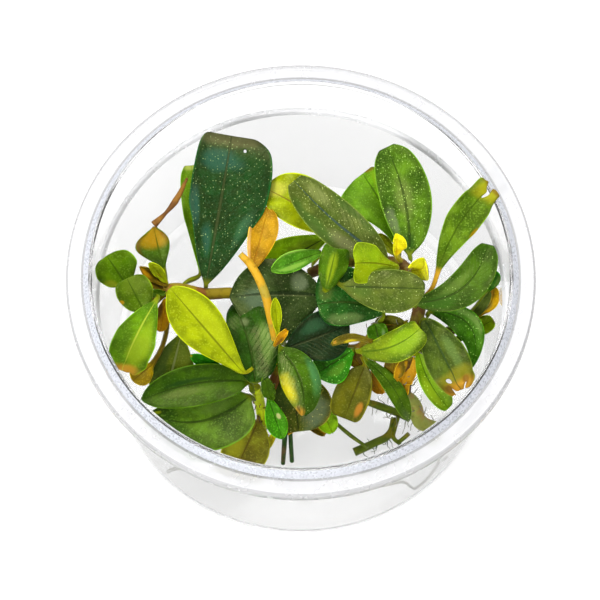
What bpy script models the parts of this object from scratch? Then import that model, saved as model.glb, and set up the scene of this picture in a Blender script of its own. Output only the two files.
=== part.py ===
"""A bucephalandra bunch standing in its clear round culture cup.

The bunch is three creeping rhizomes with their old stalks and roots, and the leaves that grow from them.
Sizes and places are in millimetres, and MM turns them into Blender's metres. The origin is the middle of
the cup's underside, +Z is up, and the cup's front is towards -Y.
"""

import math

import bmesh
import bpy
from mathutils import Vector

MM = 0.001

# The cup
CUP_RADIUS = 50.0
CUP_SEGMENTS = 72
FLOOR_RADIUS = 42.6
FLOOR_CORNER = 2.0
SHOULDER_HEIGHT = 37.4
SHOULDER_RADIUS = 44.4
SHOULDER_STEP = 0.9
FLANGE_HEIGHT = 49.3
FLANGE_THICKNESS = 1.0
FLANGE_SKIRT = 2.6
LIP_HEIGHT = 51.2
LIP_FOOT_RADIUS = 46.3
LIP_RADIUS = 45.1
WALL = 0.8
WALL_FLARE = 0.4
EDGE_BEVEL = 0.5
LIP_BEVEL = 0.3
FLOOR = 1.0
FLOOR_BEVEL = 0.6
CORNER_TURNS = (0, 30, 60, 90)

# The plant
LIGHT = Vector((0.0, -0.39, 0.92)).normalized()
STALK_RADIUS = 0.6
BLADE_THICKNESS = 0.6
GAP = 0.3
BLADE_FOLD = 12.0
STEM_SIDES = 8
SHARP_EDGE = 40.0
LEAF_RINGS = (0.0, 0.12, 0.28, 0.45, 0.62, 0.78, 0.92)
SMALL_LEAF_RINGS = (0.0, 0.3, 0.6, 0.85)

# Colours of the cup and of the plant's parts
CLEAR = (0.9, 0.92, 0.93)
BLUE_GREEN = (0.01, 0.06, 0.03)
DARK_GREEN = (0.02, 0.09, 0.01)
GREEN = (0.06, 0.22, 0.01)
GREY_GREEN = (0.10, 0.16, 0.05)
OLIVE = (0.14, 0.14, 0.01)
LIME = (0.42, 0.50, 0.01)
YELLOW = (0.80, 0.55, 0.01)
ORANGE = (0.75, 0.28, 0.01)
BROWN = (0.22, 0.09, 0.02)
LEAF_ROUGHNESS = 0.45
STEM_ROUGHNESS = 0.6
CUP_ROUGHNESS = 0.15


def clear_scene():
    for thing in list(bpy.data.objects):
        bpy.data.objects.remove(thing, do_unlink=True)


def finish(name, form, colour, roughness):
    """The closed form becomes one smooth object with a material of its own."""
    bmesh.ops.scale(form, vec=(MM, MM, MM), verts=form.verts)
    bmesh.ops.recalc_face_normals(form, faces=form.faces)
    mesh = bpy.data.meshes.new(name)
    form.to_mesh(mesh)
    form.free()
    mesh.shade_smooth()
    mesh.set_sharp_from_angle(angle=math.radians(SHARP_EDGE))
    thing = bpy.data.objects.new(name, mesh)
    bpy.context.scene.collection.objects.link(thing)
    material = bpy.data.materials.new(name)
    material.use_nodes = True
    shader = material.node_tree.nodes["Principled BSDF"]
    shader.inputs["Base Color"].default_value = (*colour, 1.0)
    shader.inputs["Roughness"].default_value = roughness
    shader.inputs["Metallic"].default_value = 0.0
    mesh.materials.append(material)
    return thing


def cup_profile():
    """Half of the cup's section as (radius, height): from the underside's middle out, up and back in."""
    corner = [
        (
            FLOOR_RADIUS - FLOOR_CORNER + FLOOR_CORNER * math.sin(math.radians(turn)),
            FLOOR_CORNER - FLOOR_CORNER * math.cos(math.radians(turn)),
        )
        for turn in CORNER_TURNS
    ]
    upper_radius = SHOULDER_RADIUS + SHOULDER_STEP
    outside = [
        (SHOULDER_RADIUS, SHOULDER_HEIGHT),
        (upper_radius, SHOULDER_HEIGHT + SHOULDER_STEP),
        (upper_radius + WALL_FLARE, FLANGE_HEIGHT - FLANGE_THICKNESS),
        (CUP_RADIUS - FLANGE_THICKNESS, FLANGE_HEIGHT - FLANGE_THICKNESS),
        (CUP_RADIUS - FLANGE_THICKNESS, FLANGE_HEIGHT - FLANGE_SKIRT),
        (CUP_RADIUS, FLANGE_HEIGHT - FLANGE_SKIRT),
        (CUP_RADIUS, FLANGE_HEIGHT - EDGE_BEVEL),
        (CUP_RADIUS - EDGE_BEVEL, FLANGE_HEIGHT),
        (LIP_FOOT_RADIUS, FLANGE_HEIGHT),
        (LIP_RADIUS, LIP_HEIGHT - LIP_BEVEL),
        (LIP_RADIUS - LIP_BEVEL, LIP_HEIGHT),
    ]
    inside = [
        (LIP_RADIUS - WALL + LIP_BEVEL, LIP_HEIGHT),
        (LIP_RADIUS - WALL, LIP_HEIGHT - LIP_BEVEL),
        (upper_radius - WALL, SHOULDER_HEIGHT + SHOULDER_STEP),
        (SHOULDER_RADIUS - WALL, SHOULDER_HEIGHT),
        (FLOOR_RADIUS - WALL, FLOOR_CORNER + FLOOR),
        (FLOOR_RADIUS - WALL - FLOOR_BEVEL, FLOOR + FLOOR_BEVEL),
        (FLOOR_RADIUS - WALL - FLOOR_CORNER, FLOOR),
    ]
    return [(0.0, 0.0)] + corner + outside + inside + [(0.0, FLOOR)]


def make_cup():
    """The profile turned round the cup's axis in one spin."""
    form = bmesh.new()
    points = [form.verts.new((radius, 0.0, height)) for radius, height in cup_profile()]
    edges = [form.edges.new(pair) for pair in zip(points, points[1:])]
    bmesh.ops.spin(
        form,
        geom=points + edges,
        cent=(0.0, 0.0, 0.0),
        axis=(0.0, 0.0, 1.0),
        angle=2.0 * math.pi,
        steps=CUP_SEGMENTS,
        use_merge=True,
    )
    bmesh.ops.remove_doubles(form, verts=form.verts, dist=0.001)
    return finish("cup", form, CLEAR, CUP_ROUGHNESS)


def loft(form, rings, tip=None):
    """A skin over rings of equally many points, closed at its start, and at its end by a cap or a tip."""
    rows = [[form.verts.new(point) for point in ring] for ring in rings]
    for row, following in zip(rows, rows[1:]):
        for here in range(len(row)):
            there = (here + 1) % len(row)
            form.faces.new((row[here], row[there], following[there], following[here]))
    form.faces.new(rows[0])
    if tip is None:
        form.faces.new(rows[-1])
        return
    end = form.verts.new(tip)
    for here in range(len(rows[-1])):
        form.faces.new((rows[-1][here], rows[-1][(here + 1) % len(rows[-1])], end))


def through(points, place):
    """A point and its direction on the smooth curve through the points, with place counted in points."""
    span = min(int(place), len(points) - 2)
    share = place - span
    before = points[max(span - 1, 0)]
    start, end = points[span], points[span + 1]
    after = points[min(span + 2, len(points) - 1)]
    leave = (end - before) / 2
    arrive = (after - start) / 2
    square, cube = share**2, share**3
    point = (
        (2 * cube - 3 * square + 1) * start
        + (cube - 2 * square + share) * leave
        + (3 * square - 2 * cube) * end
        + (cube - square) * arrive
    )
    direction = (
        (6 * square - 6 * share) * (start - end)
        + (3 * square - 4 * share + 1) * leave
        + (3 * square - 2 * share) * arrive
    )
    return point, direction.normalized()


def ring_round(centre, across, normal, radius, sides):
    """A circle of points about the centre, in the plane of across and normal."""
    return [
        centre
        + across * radius * math.cos(2 * math.pi * side / sides)
        + normal * radius * math.sin(2 * math.pi * side / sides)
        for side in range(sides)
    ]


STEMS = {}


def stem(name, points, radius, colour):
    """A round stem, stalk or root along a smooth curve through its points."""
    points = [Vector(point) for point in points]
    STEMS[name] = (points, radius)
    rings = []
    across = None
    for step in range(2 * len(points) - 1):
        centre, direction = through(points, step / 2)
        if across is None:
            across = direction.orthogonal()
        across = (across - direction * across.dot(direction)).normalized()
        rings.append(ring_round(centre, across, direction.cross(across), radius, STEM_SIDES))
    form = bmesh.new()
    loft(form, rings)
    return finish(name, form, colour, STEM_ROUGHNESS)


def blade_section(centre, across, normal, left, right, fold, steps):
    """The leaf's section as a thin lens: up over the top from its left edge, and back under it."""
    rise = math.tan(math.radians(fold))
    places = [1.0 - 2.0 * step / (steps + 1) for step in range(steps + 2)]

    def at(place, side):
        reach = left if place > 0 else right
        lift = abs(place) * reach * rise
        half = BLADE_THICKNESS / 2 * (1.0 - place**2) * side
        return centre + across * place * reach + normal * (lift + half)

    return [at(place, 1) for place in places] + [at(place, -1) for place in places[-2:0:-1]]


def leaf(
    name,
    on,
    neck,
    tip,
    halves,
    colour,
    bow=(0.0, 0.0),
    widest=0.6,
    blunt=0.7,
    small=False,
):
    """A leaf on its stalk.

    on is the stem it grows from and the place there, neck is where the blade starts and tip where it ends.
    The blade faces the light. bow is how far the midrib's middle is off the straight line, to the left and
    up. halves are the widths left and right of the midrib, widest is where along the blade they are reached,
    and blunt is how full the blade is towards its two ends.
    """
    neck, tip = Vector(neck), Vector(tip)
    axis = (tip - neck).normalized()
    across = LIGHT.cross(axis).normalized()
    face = axis.cross(across)
    middle = (neck + tip) / 2 + across * bow[0] + face * bow[1]
    control = 2 * middle - (neck + tip) / 2

    stem_points, stem_radius = STEMS[on[0]]
    root, along = through(stem_points, on[1])
    out = neck - root
    out = (out - along * out.dot(along)).normalized()
    start = root + out * (stem_radius + GAP)
    arrive = (control - neck).normalized()
    reach = (neck - start).length / 3
    elbow = (arrive + (neck - start).normalized()).normalized()

    steps = 1 if small else 3
    sides = 2 * steps + 2
    power = math.log(0.5) / math.log(widest)
    blade = []
    for share in SMALL_LEAF_RINGS if small else LEAF_RINGS:
        centre = (1 - share) ** 2 * neck + 2 * share * (1 - share) * control + share**2 * tip
        direction = elbow
        if share:
            direction = ((1 - share) * (control - neck) + share * (tip - control)).normalized()
        side = (across - direction * across.dot(direction)).normalized()
        swell = math.sin(math.pi * share**power) ** blunt if share else 0.0
        left = STALK_RADIUS + (halves[0] - STALK_RADIUS) * swell
        right = STALK_RADIUS + (halves[1] - STALK_RADIUS) * swell
        blade.append(blade_section(centre, side, direction.cross(side), left, right, BLADE_FOLD * swell, steps))

    side = (across - elbow * across.dot(elbow)).normalized()
    stalk = []
    for share in (0.5, 0.0):
        first, second = start + out * reach, neck - arrive * reach
        centre = (
            (1 - share) ** 3 * start
            + 3 * share * (1 - share) ** 2 * first
            + 3 * share**2 * (1 - share) * second
            + share**3 * neck
        )
        direction = (
            (1 - share) ** 2 * (first - start)
            + 2 * share * (1 - share) * (second - first)
            + share**2 * (neck - second)
        ).normalized()
        side = (side - direction * side.dot(direction)).normalized()
        stalk.insert(0, ring_round(centre, side, direction.cross(side), STALK_RADIUS, sides))

    form = bmesh.new()
    loft(form, stalk + blade, tip)
    return finish("leaf_" + name, form, colour, LEAF_ROUGHNESS)


def make_stems():
    stem(
        "rhizome_left",
        [(-33, -3, 39), (-29, 0, 40), (-21, 0.5, 37), (-12, 1.5, 33), (-7.5, -2.5, 27), (-9.5, -13, 24)],
        1.4,
        OLIVE,
    )
    stem(
        "rhizome_centre",
        [(-6.5, -15, 21), (-3, -9, 24), (4, -4.5, 24), (12, -9, 28), (17, -5.5, 32)],
        1.3,
        OLIVE,
    )
    stem(
        "rhizome_right",
        [
            (2, 8, 31),
            (9.5, 8.5, 36),
            (18, 8, 37),
            (22.5, 5.5, 40),
            (25.5, -1.5, 38),
            (24.5, -7, 35),
            (23, -11.5, 31),
            (22.5, -15.5, 20),
        ],
        1.5,
        BROWN,
    )
    stem("stalk_front", [(-10, -15, 21), (-9, -17, 15), (-9, -21, 7), (-11.5, -24.5, 2.5)], 1.2, LIME)
    stem(
        "stalk_old_yellow",
        [(-13, 5.5, 47), (-10.5, 3, 46), (-8, -1.5, 44), (-6.5, -6, 40), (-5.5, -9.5, 35.5)],
        1,
        ORANGE,
    )
    stem("thread_dried", [(-31.5, 11.5, 49), (-29, 14, 49.5), (-27, 16.5, 50), (-24.5, 22, 50)], 0.6, BROWN)
    stem("root_rooty", [(23, -15.5, 18), (25.5, -16, 13), (26.5, -18, 8), (30.5, -18, 3)], 1.6, OLIVE)
    stem("stem_green_long", [(14, -14, 10), (17.5, -14.5, 8), (22, -15.5, 6), (24.5, -16.5, 5)], 0.9, GREEN)
    stem("stem_green_cut", [(21, -16, 4.5), (20, -19.5, 3.5), (16.5, -21.5, 3), (12, -23.5, 2.5)], 0.9, LIME)
    stem("stem_thin", [(7, -17, 6), (11, -20.5, 5.5), (15, -23.5, 5.5)], 0.5, GREEN)
    stem("stem_twin", [(-3.5, -22.5, 12), (-4, -26, 2)], 0.6, BROWN)


def make_left_leaves():
    on = "rhizome_left"
    front = "stalk_front"
    leaf("round_left", (on, 0.2), (-38, 0.5, 42), (-41.5, 4.5, 48.5), (4.5, 5), GREEN)
    leaf("olive_left", (on, 0), (-33.5, -6, 44), (-37.5, -2, 49), (4.5, 5), GREEN)
    leaf("lime_hanging", (on, 0.6), (-31, -5, 45.5), (-38.5, -18, 39.5), (5, 5), LIME, bow=(-0.5, 0))
    leaf("brown_small", (on, 1), (-32.5, -13.5, 30), (-36.5, -17, 30), (2.5, 2.5), OLIVE, small=True)
    leaf("diamond", (on, 1), (-29.5, 3.5, 44), (-31.5, 11.5, 48), (5, 2.5), OLIVE, small=True)
    leaf("folded_behind", (on, 1.5), (-21.5, 6, 36), (-24, 29.5, 41), (3, 3.5), GREEN, (0, 0), 0.7, 0.5)
    leaf("speckled_tall", (on, 2), (-20.5, 2, 39), (-15, 33.5, 49), (7, 10.5), BLUE_GREEN, (0, 0), 0.7, 0.3)
    leaf("orange", ("stalk_old_yellow", 1), (-10.5, 4.5, 41), (-7, 18.5, 43), (3, 3.5), ORANGE)
    leaf("lime_front", (on, 4.5), (-13.5, -14.5, 27), (-28, -1.5, 45), (5.5, 5), LIME)
    leaf("green_glossy", (on, 5), (-10, -17.5, 29), (-15, -2.5, 39), (4, 5), GREEN, (-1, 0))
    leaf("double_upper", (front, 0), (-14, -16, 25), (-34.5, -21.5, 30), (4.5, 4), DARK_GREEN, (-1.5, 0))
    leaf("double_lower", (front, 0.5), (-12, -18, 21), (-33, -23.5, 27), (4.5, 6), DARK_GREEN, (4, 0))
    leaf("grey_behind", (on, 1.7), (-26, -7, 32), (-30, -19, 22), (5.5, 5), BLUE_GREEN)
    leaf("dark_sliver", (on, 4.9), (-16, -14, 27), (-24, -11.5, 31), (1.5, 1.5), DARK_GREEN, small=True)
    leaf("brown_membrane", (front, 1.2), (-12, -19.5, 10), (-13, -26.5, 7), (3.5, 3.5), BROWN, small=True)


def make_centre_leaves():
    on = "rhizome_centre"
    behind = "rhizome_right"
    leaf("blue_glossy", (on, 2.2), (5, 1, 33), (-15, 0.5, 36), (8, 6.5), BLUE_GREEN, bow=(-1, 0))
    leaf("teal", (on, 1), (-3, -9, 30), (10, -4.5, 35), (4.5, 5), BLUE_GREEN)
    leaf("burnt_tip", (on, 1.2), (-4.5, -9.5, 31), (0.5, -24, 28), (3.5, 5), GREEN, bow=(3, 0))
    leaf("grey_hanging", (on, 1.3), (-2, -12, 21.5), (2, -23, 18), (6.5, 6), BLUE_GREEN)
    leaf("lime_back", (behind, 1.2), (11, 13, 40), (-8.5, 22.5, 45), (4.5, 7), LIME)
    leaf("speckled_middle", (behind, 2), (18.5, 6, 43), (-1.5, 22, 49), (5, 5), GREY_GREEN, (1, 0), 0.5)
    leaf("olive_back", (behind, 0.7), (5, 14, 35), (-10.5, 7, 30.5), (2.5, 4), DARK_GREEN)
    leaf("green_small", (behind, 0.3), (4.5, 9.5, 39), (-6.5, 4, 41.5), (2, 2.5), GREEN, small=True)
    leaf("lime_curled", (behind, 0.6), (7.5, 0, 43), (7, 4.5, 49), (2, 3), LIME, small=True)
    leaf("lime_folded", (behind, 2.6), (21, 4, 43), (11.5, 2, 50), (4, 4), LIME, (-0.5, 0), 0.75)
    leaf("dark_broad", (on, 4), (17.5, -4.5, 36.5), (4, -3.5, 39), (4.5, 4.5), DARK_GREEN, bow=(-1.5, 0))
    leaf("grey_green", (behind, 1), (9.5, -1, 43.5), (26, -2.5, 47), (3, 5), GREY_GREEN)
    leaf("teal_point", (on, 3.8), (15, -5.5, 34), (18, -10, 35.5), (1.5, 1.5), DARK_GREEN, small=True)
    leaf("green_triangle", (on, 3), (11, -10.5, 29.5), (4, -16, 27.5), (4, 4.5), GREEN)
    leaf("yellow_torn", (on, 3.6), (14.5, -11, 38.5), (6.5, -12, 38.5), (1, 1), YELLOW, (-1, 0), small=True)
    leaf("olive_patched", (on, 3.1), (14, -12.5, 27.5), (10, -22.5, 22), (4, 4), OLIVE, blunt=0.5)
    leaf("green_white_dot", (on, 0.2), (-6.5, -18, 18.5), (-4, -24.5, 16), (2, 2), DARK_GREEN, small=True)
    leaf("green_low", (on, 2), (4, -16.5, 16), (6.5, -22, 12), (1.5, 1.5), LIME, small=True)


def make_right_leaves():
    on = "rhizome_right"
    centre = "rhizome_centre"
    leaf("speckled_right", (on, 3), (23.5, 8, 41.5), (18.5, 30, 49), (5.5, 6), DARK_GREEN, (-1.5, 0), 0.55)
    leaf("light_behind", (on, 2.5), (21, 11.5, 38), (13.5, 27, 42), (8, 4), GREEN, (-1, 0), 0.8, 0.4)
    leaf("olive_sliver", (on, 2.3), (20.5, 10.5, 36), (16.5, 15, 36), (1.5, 1.5), OLIVE, small=True)
    leaf("yellow_small", (on, 2.9), (20.5, 6.5, 45), (20.5, 8.5, 51), (0.6, 2), YELLOW, small=True)
    leaf("yellow_cup", (on, 3.3), (24, 3, 45), (26, 3, 51), (2.5, 2.5), YELLOW, (-1.5, 0), small=True)
    leaf("torn_tip", (on, 3.9), (29.5, 3, 44), (41, 19, 53.5), (3.5, 4), GREEN, (1.5, 0))
    leaf("broad_right", (on, 4.2), (24.5, -3, 40.5), (40, 7, 49), (3.5, 4), DARK_GREEN, (-4, 0))
    leaf("tailed", (on, 4.5), (28, -3.5, 37), (37, -13.5, 33), (2.5, 3), DARK_GREEN, (4.5, 0))
    leaf("round_right", (on, 5.2), (41, 2.5, 35), (42.5, 5.5, 38), (2, 1.5), DARK_GREEN, small=True)
    leaf("brown_right", (on, 5.6), (39.5, -1.5, 31), (42, 4, 33), (1.5, 1.5), BROWN, (-1, 0), small=True)
    leaf("dark_right", (on, 6), (37.5, -4.5, 27), (42, -3, 31), (2, 2), DARK_GREEN, small=True)
    leaf("lime_right", (centre, 3.2), (13, -12, 35), (25.5, -10.5, 43), (3, 3.5), LIME, (-1.5, 0))
    leaf("tan_tip", (on, 5), (26.5, -6, 39), (34.5, -22, 35), (5, 4.5), DARK_GREEN)
    leaf("light_under", (on, 6), (25.5, -11.5, 33), (32, -23, 29), (3, 2), GREEN, (-1, 0))
    leaf("narrow_dark", (centre, 3.4), (14, -13, 32), (23.5, -22.5, 20), (2, 2), DARK_GREEN, (1.5, 0))


clear_scene()
make_cup()
make_stems()
make_left_leaves()
make_centre_leaves()
make_right_leaves()
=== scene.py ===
# %% [markdown]
# A bunch of bucephalandra, a small aquarium plant, stands in the clear plastic cup that it was grown in.
# The imported model is loaded first, as a fixed frame. Every piece made here replaces one of its nodes or is
# a small piece beside them. Sizes are in millimetres, and MM turns them into Blender's metres.

# %% Load the imported model
import math
import random

import bmesh
import bpy
from mathutils import Matrix, Vector


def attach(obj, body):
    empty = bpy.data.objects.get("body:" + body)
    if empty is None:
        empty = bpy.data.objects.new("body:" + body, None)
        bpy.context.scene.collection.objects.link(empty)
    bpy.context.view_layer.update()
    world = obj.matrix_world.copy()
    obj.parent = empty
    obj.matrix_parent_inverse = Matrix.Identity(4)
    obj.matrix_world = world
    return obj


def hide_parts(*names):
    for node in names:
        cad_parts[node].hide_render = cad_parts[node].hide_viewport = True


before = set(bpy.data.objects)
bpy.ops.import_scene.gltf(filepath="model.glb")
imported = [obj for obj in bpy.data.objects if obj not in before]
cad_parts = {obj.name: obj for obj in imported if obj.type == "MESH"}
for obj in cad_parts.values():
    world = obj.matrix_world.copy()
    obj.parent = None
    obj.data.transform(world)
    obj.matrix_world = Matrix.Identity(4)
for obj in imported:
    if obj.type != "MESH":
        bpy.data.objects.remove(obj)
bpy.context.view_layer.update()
MM = 0.001
print("nodes loaded:", len(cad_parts))

# %% [markdown]
# The camera looks down into the cup from the front, about 65 centimetres away, through a long lens.
# The lens width and the camera's place give the photograph's frame. Standard view keeps the leaf colours
# as strong as they are set.

# %% Camera and view
CAMERA_PLACE = Vector((-0.185, -238.7, 599.8)) * MM
CAMERA_TILT = 22.90
CAMERA_LENS = 169.3
bpy.ops.object.camera_add(location=CAMERA_PLACE, rotation=(math.radians(CAMERA_TILT), 0, 0))
camera = bpy.context.object
camera.name = "camera"
camera.data.lens = CAMERA_LENS
camera.data.clip_start = 0.01
bpy.context.scene.camera = camera
bpy.context.scene.view_settings.view_transform = "Standard"
print("camera height in metres:", round(camera.location.z, 3))

# %% [markdown]
# The light is a bright tent. The world is a dome that is bright above and dim at the horizon, so that the
# clear cup shows its edges. One large lamp behind and above throws the plant's shadow towards the front
# of the cup, and a smaller one at the front left gives gloss and fills the dark places.


# %% Lamps and world
def lamp(name, place, size, watts):
    """A square area lamp that faces the plant, with its place and size in millimetres."""
    place = Vector(place) * MM
    aim = Vector((0, 0, 40)) * MM - place
    bpy.ops.object.light_add(type="AREA", location=place, rotation=aim.to_track_quat("-Z", "Y").to_euler())
    made = bpy.context.object
    made.name = name
    made.data.shape = "SQUARE"
    made.data.size = size * MM
    made.data.energy = watts
    return made


lamp("lamp_behind", place=(30, 260, 720), size=560, watts=6.5)
lamp("lamp_front", place=(-260, -420, 460), size=260, watts=4)
HORIZON, ZENITH = 0.6, 0.95
FULLY_BRIGHT_FROM = 0.8
world = bpy.data.worlds.new("tent")
world.use_nodes = True
sky = world.node_tree
toward = sky.nodes.new("ShaderNodeTexCoord")
height = sky.nodes.new("ShaderNodeSeparateXYZ")
dome = sky.nodes.new("ShaderNodeMapRange")
dome.interpolation_type = "SMOOTHSTEP"
for name, value in (("From Max", FULLY_BRIGHT_FROM), ("To Min", HORIZON), ("To Max", ZENITH)):
    dome.inputs[name].default_value = value
sky.links.new(toward.outputs["Generated"], height.inputs[0])
sky.links.new(height.outputs["Z"], dome.inputs["Value"])
sky.links.new(dome.outputs["Result"], sky.nodes["Background"].inputs["Strength"])
sky.nodes["Background"].inputs["Color"].default_value = (1, 1, 1, 1)
bpy.context.scene.world = world
print("world brightness from the horizon up:", HORIZON, ZENITH)

# %% [markdown]
# The floor is a light table: it glows white, so the shadows on it stay pale and the clear cup shows its
# edges against it. It lies a hair below the cup, so that the two faces don't share one plane.

# %% Floor
FLOOR_GAP = 0.3
FLOOR_SHADE, FLOOR_GLOW = 0.25, 0.7


def let_go():
    """Nothing is selected afterwards, so that the next operator acts on its own piece only."""
    for thing in list(bpy.context.selected_objects):
        thing.select_set(False)


let_go()
bpy.ops.mesh.primitive_plane_add(size=6, location=(0, 0, -FLOOR_GAP * MM))
floor = bpy.context.object
floor.name = "floor"
floor_finish = bpy.data.materials.new("floor_white")
floor_finish.use_nodes = True
glowing = floor_finish.node_tree.nodes["Principled BSDF"].inputs
glowing["Base Color"].default_value = (FLOOR_SHADE, FLOOR_SHADE, FLOOR_SHADE, 1)
glowing["Roughness"].default_value = 0.9
glowing["Emission Color"].default_value = (1, 1, 1, 1)
glowing["Emission Strength"].default_value = FLOOR_GLOW
floor.data.materials.append(floor_finish)
print("floor's glow:", FLOOR_GLOW)

# %% [markdown]
# Finishes are node materials. These helpers add a node and join its sockets in one line, so that a finish
# reads from top to bottom. A colour is red, green and blue from 0 to 1.


# %% Helpers for finishes
class Finish:
    """A material's nodes, with short ways to add the ones that the finishes here need."""

    def __init__(self, name):
        self.material = bpy.data.materials.new(name)
        self.material.use_nodes = True
        self.nodes = self.material.node_tree.nodes
        self.links = self.material.node_tree.links
        self.shader = self.nodes["Principled BSDF"]
        self.place = self.nodes.new("ShaderNodeTexCoord").outputs["Object"]

    def join(self, source, socket):
        """A socket takes another's output, a number or a colour."""
        if isinstance(source, bpy.types.NodeSocket):
            self.links.new(source, socket)
        elif isinstance(source, tuple) and len(source) == 3 and socket.type == "RGBA":
            socket.default_value = (*source, 1)
        else:
            socket.default_value = source

    def maths(self, action, first, second=0.0):
        node = self.nodes.new("ShaderNodeMath")
        node.operation = action
        self.join(first, node.inputs[0])
        self.join(second, node.inputs[1])
        return node.outputs[0]

    def times(self, first, second):
        return self.maths("MULTIPLY", first, second)

    def plus(self, first, second):
        return self.maths("ADD", first, second)

    def ramp(self, value, low, high, start=0.0, end=1.0):
        """A smooth change from start to end while value goes from low to high."""
        node = self.nodes.new("ShaderNodeMapRange")
        node.interpolation_type = "SMOOTHSTEP"
        given = {"Value": value, "From Min": low, "From Max": high, "To Min": start, "To Max": end}
        for name, part in given.items():
            self.join(part, node.inputs[name])
        return node.outputs["Result"]

    def blend(self, share, under, over):
        """One colour turning into another where share is high."""
        node = self.nodes.new("ShaderNodeMix")
        node.data_type = "RGBA"
        self.join(share, node.inputs["Factor"])
        self.join(under, node.inputs["A"])
        self.join(over, node.inputs["B"])
        return node.outputs["Result"]

    def noise(self, scale, detail=3.0, vector=None):
        node = self.nodes.new("ShaderNodeTexNoise")
        node.inputs["Scale"].default_value = scale
        node.inputs["Detail"].default_value = detail
        self.join(vector or self.place, node.inputs["Vector"])
        return node.outputs["Fac"]

    def cells(self, scale):
        """Round dots scattered over the surface: the distance to the nearest one, and a value of its own."""
        node = self.nodes.new("ShaderNodeTexVoronoi")
        node.inputs["Scale"].default_value = scale
        self.join(self.place, node.inputs["Vector"])
        part = self.nodes.new("ShaderNodeSeparateColor")
        self.join(node.outputs["Color"], part.inputs[0])
        return node.outputs["Distance"], part.outputs[0]

    def relief(self, height, strength, depth):
        node = self.nodes.new("ShaderNodeBump")
        node.inputs["Strength"].default_value = strength
        node.inputs["Distance"].default_value = depth * MM
        self.join(height, node.inputs["Height"])
        self.join(node.outputs["Normal"], self.shader.inputs["Normal"])

    def set(self, **values):
        """The shader's own sockets, with _ for a space in the name."""
        for name, value in values.items():
            self.join(value, self.shader.inputs[name.replace("_", " ")])


# %% [markdown]
# The cup is moulded thin from clear plastic: a flat floor, a wall with a step that lets cups stack, a flange
# for the lid and a lip inside it. It is round, so its section is drawn as a chain of points by extruding
# one point again and again, and then turned about the cup's axis by one spin. Its corners are rounded, as a
# mould rounds them, and a point beside each rounding keeps the flat walls flat to the light.

# %% The cup's section
CUP_SECTION = [
    (0, 0), (39.6, 0), (40.6, 0), (41.6, 0.3), (42.3, 1.0), (42.6, 2.0), (42.7, 4.0),
    (44.4, 37.4), (45.3, 38.3), (45.7, 48.3), (49.0, 48.3), (49.0, 46.7), (50.0, 46.7), (50.0, 48.8),
    (49.5, 49.3), (46.8, 49.3), (46.3, 49.4), (45.1, 50.9), (44.8, 51.2), (44.6, 51.2), (44.3, 50.9),
    (44.5, 38.3), (43.6, 37.4), (41.9, 5.0), (41.8, 3.0), (41.2, 1.6), (39.8, 1.0), (38.6, 1.0),
    (0, 1.0),
]
print("points in the cup's section:", len(CUP_SECTION))


# %% Helpers for modelling by hand
def take(piece):
    """The piece alone is selected, and the operators act on it."""
    let_go()
    piece.select_set(True)
    bpy.context.view_layer.objects.active = piece


def edit(piece):
    """The piece alone is in edit mode, with points as what is picked."""
    take(piece)
    bpy.ops.object.mode_set(mode="EDIT")
    bpy.context.tool_settings.mesh_select_mode = (True, False, False)
    return bmesh.from_edit_mesh(piece.data)


def leave():
    """Back to object mode."""
    bpy.ops.object.mode_set(mode="OBJECT")


def pick(form, points):
    """Only these points are selected."""
    bpy.ops.mesh.select_all(action="DESELECT")
    for point in points:
        point.select = True
    form.select_flush(True)


def apply_all(piece):
    """Every modifier is applied, in order."""
    take(piece)
    for modifier in list(piece.modifiers):
        bpy.ops.object.modifier_apply(modifier=modifier.name)


def settle(piece, finish, node=None):
    """The finished piece gets its material, rides on the root body and stands for its node."""
    take(piece)
    bpy.ops.object.transform_apply(location=True, rotation=True, scale=True)
    if finish is not None:
        piece.data.materials.clear()
        piece.data.materials.append(finish)
    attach(piece, "root")
    if node:
        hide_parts(node)


# %% Spin the cup
CUP_STEPS = 180
SHARP_CORNER = 32
SAME_POINT = 0.01
let_go()
bpy.ops.mesh.primitive_plane_add(size=1 * MM, location=(0, 0, 0))
cup = bpy.context.object
cup.name = "clear_cup"
form = edit(cup)
bpy.ops.mesh.select_all(action="SELECT")
bpy.ops.mesh.merge(type="CENTER")
for (radius, height), (next_radius, next_height) in zip(CUP_SECTION, CUP_SECTION[1:]):
    step = ((next_radius - radius) * MM, 0, (next_height - height) * MM)
    bpy.ops.mesh.extrude_region_move(TRANSFORM_OT_translate={"value": step})
bpy.ops.mesh.select_all(action="SELECT")
bpy.ops.mesh.spin(steps=CUP_STEPS, angle=math.tau, center=(0, 0, 0), axis=(0, 0, 1))
bpy.ops.mesh.select_all(action="SELECT")
bpy.ops.mesh.remove_doubles(threshold=SAME_POINT * MM)
bpy.ops.mesh.normals_make_consistent(inside=False)
leave()
bpy.ops.object.shade_smooth_by_angle(angle=math.radians(SHARP_CORNER))
print("cup faces:", len(cup.data.polygons))

# %% [markdown]
# The plastic is clear, so nearly all light goes through. The slanted side of the lip is frosted, with a
# fine sparkle, where the mould was rough. The shoulder's ledge, the crease at the lip's foot, the flange and
# its outer corner are thick along the line of sight; their grey is painted shade in the base colour, for the
# dark lines that refraction draws there. The wall's darker base colour is painted shade too, for the grey of
# the wall. Each is a finish of its own.

# %% The cup's clear, frosted and thick plastic
PLASTIC_INDEX = 1.22
clear = Finish("clear_plastic")
clear.set(Base_Color=(0.95, 0.95, 0.95), Transmission_Weight=0.97, IOR=PLASTIC_INDEX, Roughness=0.04)
clear.relief(clear.noise(60, 2), 0.04, 0.2)
frosted = Finish("frosted_plastic")
frosted.set(Base_Color=(0.49, 0.505, 0.55), Transmission_Weight=0.3, IOR=PLASTIC_INDEX)
grains, grain = frosted.cells(2600)
frosted.set(Roughness=frosted.ramp(grain, 0.2, 0.9, 0.25, 0.6))
frosted.relief(grains, 0.5, 0.15)


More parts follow.
